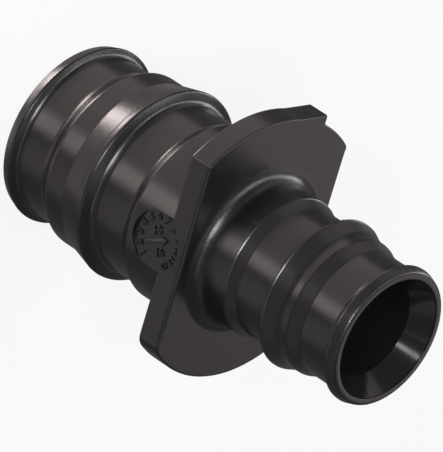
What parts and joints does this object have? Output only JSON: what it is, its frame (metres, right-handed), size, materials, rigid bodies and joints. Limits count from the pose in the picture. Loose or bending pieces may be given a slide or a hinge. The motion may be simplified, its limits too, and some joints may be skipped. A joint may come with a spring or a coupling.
{
  "type": "reducing coupling",
  "caption": "Moulded plastic pipe reducer: a larger and a smaller ribbed insert either side of a flange with flats, bored right through.",
  "frame": {"origin": "centre of the large insert's end ring, which the coupling stands on", "axes": "+Z along the bore from the large insert to the small one, the flange's flats facing +Y and -Y, the dial recess on -Y"},
  "size_m": [0.0362, 0.027, 0.0579],
  "materials": {
    "black_plastic": "satin as moulded, fine grain on the flange"
  },
  "bodies": {
    "root": {"coupling_body": "black_plastic"}
  },
  "joints": []
}
